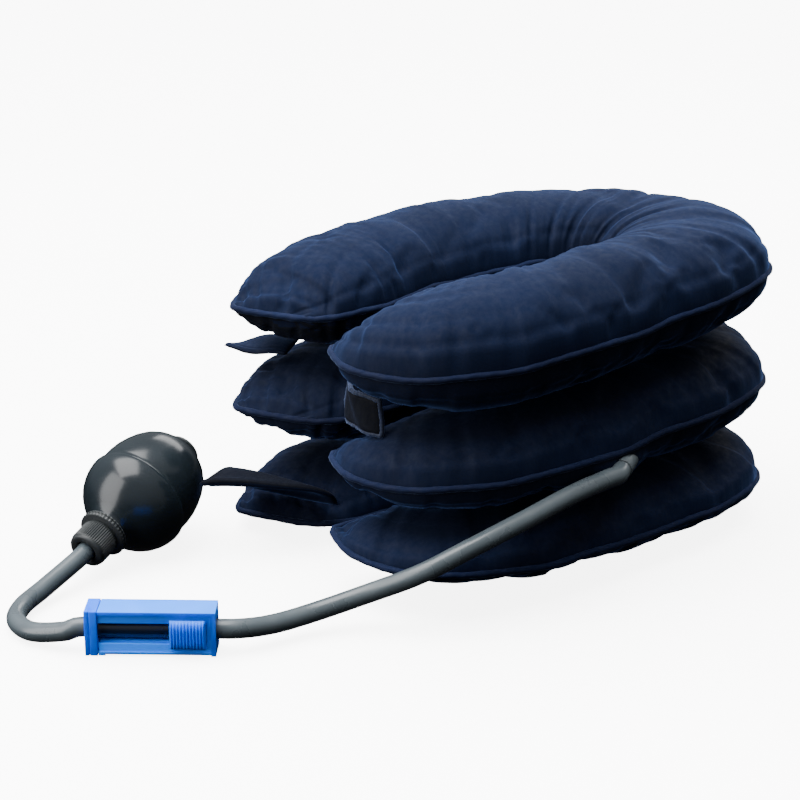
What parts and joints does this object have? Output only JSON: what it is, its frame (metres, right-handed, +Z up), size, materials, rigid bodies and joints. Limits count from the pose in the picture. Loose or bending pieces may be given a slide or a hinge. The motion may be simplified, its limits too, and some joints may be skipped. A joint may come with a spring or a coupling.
{
  "type": "cervical traction device",
  "caption": "Inflatable neck collar of stacked padded C-shaped tiers, with an air hose, a slide clamp and a squeeze bulb with a release nut.",
  "frame": {"origin": "middle of the footprint of the collar and bulb, on the surface they lie on; the hose and the clamp are left out of the box", "axes": "+Z up through the tiers, +Y towards the nape, -Y out of the collar's open front, +X the side the hose leaves from"},
  "size_m": [0.2077, 0.3925, 0.1587],
  "materials": {
    "air_hose": "satin",
    "bottom_bladder": "satin",
    "bottom_lower_panel": "soft velour",
    "bottom_piping": "woven cord",
    "bottom_upper_panel": "soft velour",
    "bulb": "gloss",
    "clamp_body": "satin",
    "clamp_end_cap": "satin",
    "clamp_slider": "satin",
    "collar_ring": "satin",
    "hose_stem": "satin",
    "inlet_ball": "polished",
    "inlet_valve": "satin",
    "loop_tab": "loop pile",
    "lower_air_link": "satin",
    "lower_strap": "soft velour",
    "middle_bladder": "satin",
    "middle_lower_panel": "soft velour",
    "middle_piping": "woven cord",
    "middle_upper_panel": "soft velour",
    "outlet_ball": "polished",
    "outlet_valve": "satin",
    "release_nut": "knurled",
    "top_bladder": "satin",
    "top_lower_panel": "soft velour",
    "top_piping": "woven cord",
    "top_upper_panel": "soft velour",
    "upper_air_link": "satin",
    "upper_strap": "soft velour",
    "valve_stem": "satin"
  },
  "bodies": {
    "collar_base": {"bottom_lower_panel": "bottom_lower_panel", "bottom_upper_panel": "bottom_upper_panel", "bottom_piping": "bottom_piping", "bottom_bladder": "bottom_bladder", "air_hose": "air_hose", "clamp_body": "clamp_body", "clamp_end_cap": "clamp_end_cap", "bulb": "bulb", "collar_ring": "collar_ring", "valve_stem": "valve_stem", "outlet_valve": "outlet_valve", "inlet_valve": "inlet_valve"},
    "middle_tier": {"middle_lower_panel": "middle_lower_panel", "middle_upper_panel": "middle_upper_panel", "middle_piping": "middle_piping", "middle_bladder": "middle_bladder", "hose_stem": "hose_stem", "lower_air_link": "lower_air_link", "loop_tab": "loop_tab"},
    "top_tier": {"top_lower_panel": "top_lower_panel", "top_upper_panel": "top_upper_panel", "top_piping": "top_piping", "top_bladder": "top_bladder", "upper_air_link": "upper_air_link"},
    "lower_strap": {"lower_strap": "lower_strap"},
    "upper_strap": {"upper_strap": "upper_strap"},
    "clamp_slider": {"clamp_slider": "clamp_slider"},
    "release_nut": {"release_nut": "release_nut"},
    "outlet_ball": {"outlet_ball": "outlet_ball"},
    "inlet_ball": {"inlet_ball": "inlet_ball"}
  },
  "joints": [
    {"name": "middle_slide", "type": "slide", "parent": "collar_base", "child": "middle_tier", "axis": [0, 0, 1], "range_m": [-0.022, 0], "stiffness_N_per_m": 900, "springref_m": 0.004, "deforming": ["bottom_upper_panel", "bottom_lower_panel", "bottom_bladder", "middle_lower_panel", "middle_upper_panel", "middle_bladder", "lower_air_link", "air_hose"]},
    {"name": "top_slide", "type": "slide", "parent": "middle_tier", "child": "top_tier", "axis": [0, 0, 1], "range_m": [-0.022, 0], "stiffness_N_per_m": 600, "springref_m": 0.004, "deforming": ["top_lower_panel", "top_upper_panel", "top_bladder", "upper_air_link"]},
    {"name": "lower_strap_flex", "type": "hinge", "parent": "collar_base", "child": "lower_strap", "pos_m": [-0.0364, -0.0575, 0.022], "axis": [0.8658, 0.5004, 0], "range_deg": [-10, 12], "stiffness_Nm_per_rad": 0.02},
    {"name": "upper_strap_flex", "type": "hinge", "parent": "middle_tier", "child": "upper_strap", "pos_m": [-0.0604, -0.0435, 0.091], "axis": [0.7071, -0.7071, 0], "range_deg": [0, 8], "stiffness_Nm_per_rad": 0.02},
    {"name": "clamp_slide", "type": "slide", "parent": "collar_base", "child": "clamp_slider", "axis": [-0.5519, -0.8339, 0], "range_m": [0, 0.03]},
    {"name": "release_nut_turn", "type": "hinge", "parent": "collar_base", "child": "release_nut", "pos_m": [-0.04783, -0.1615, 0.01645], "axis": [-0.4501, 0.8466, 0.284], "range_deg": [0, 270]},
    {"name": "outlet_ball_lift", "type": "slide", "parent": "collar_base", "child": "outlet_ball", "axis": [0.4501, -0.8466, -0.284], "range_m": [0, 0.0025]},
    {"name": "inlet_ball_lift", "type": "slide", "parent": "collar_base", "child": "inlet_ball", "axis": [0.4501, -0.8466, -0.284], "range_m": [0, 0.0025]}
  ],
  "couplings": [
    {"joint": "top_slide", "follows": "middle_slide", "ratio": 1}
  ]
}
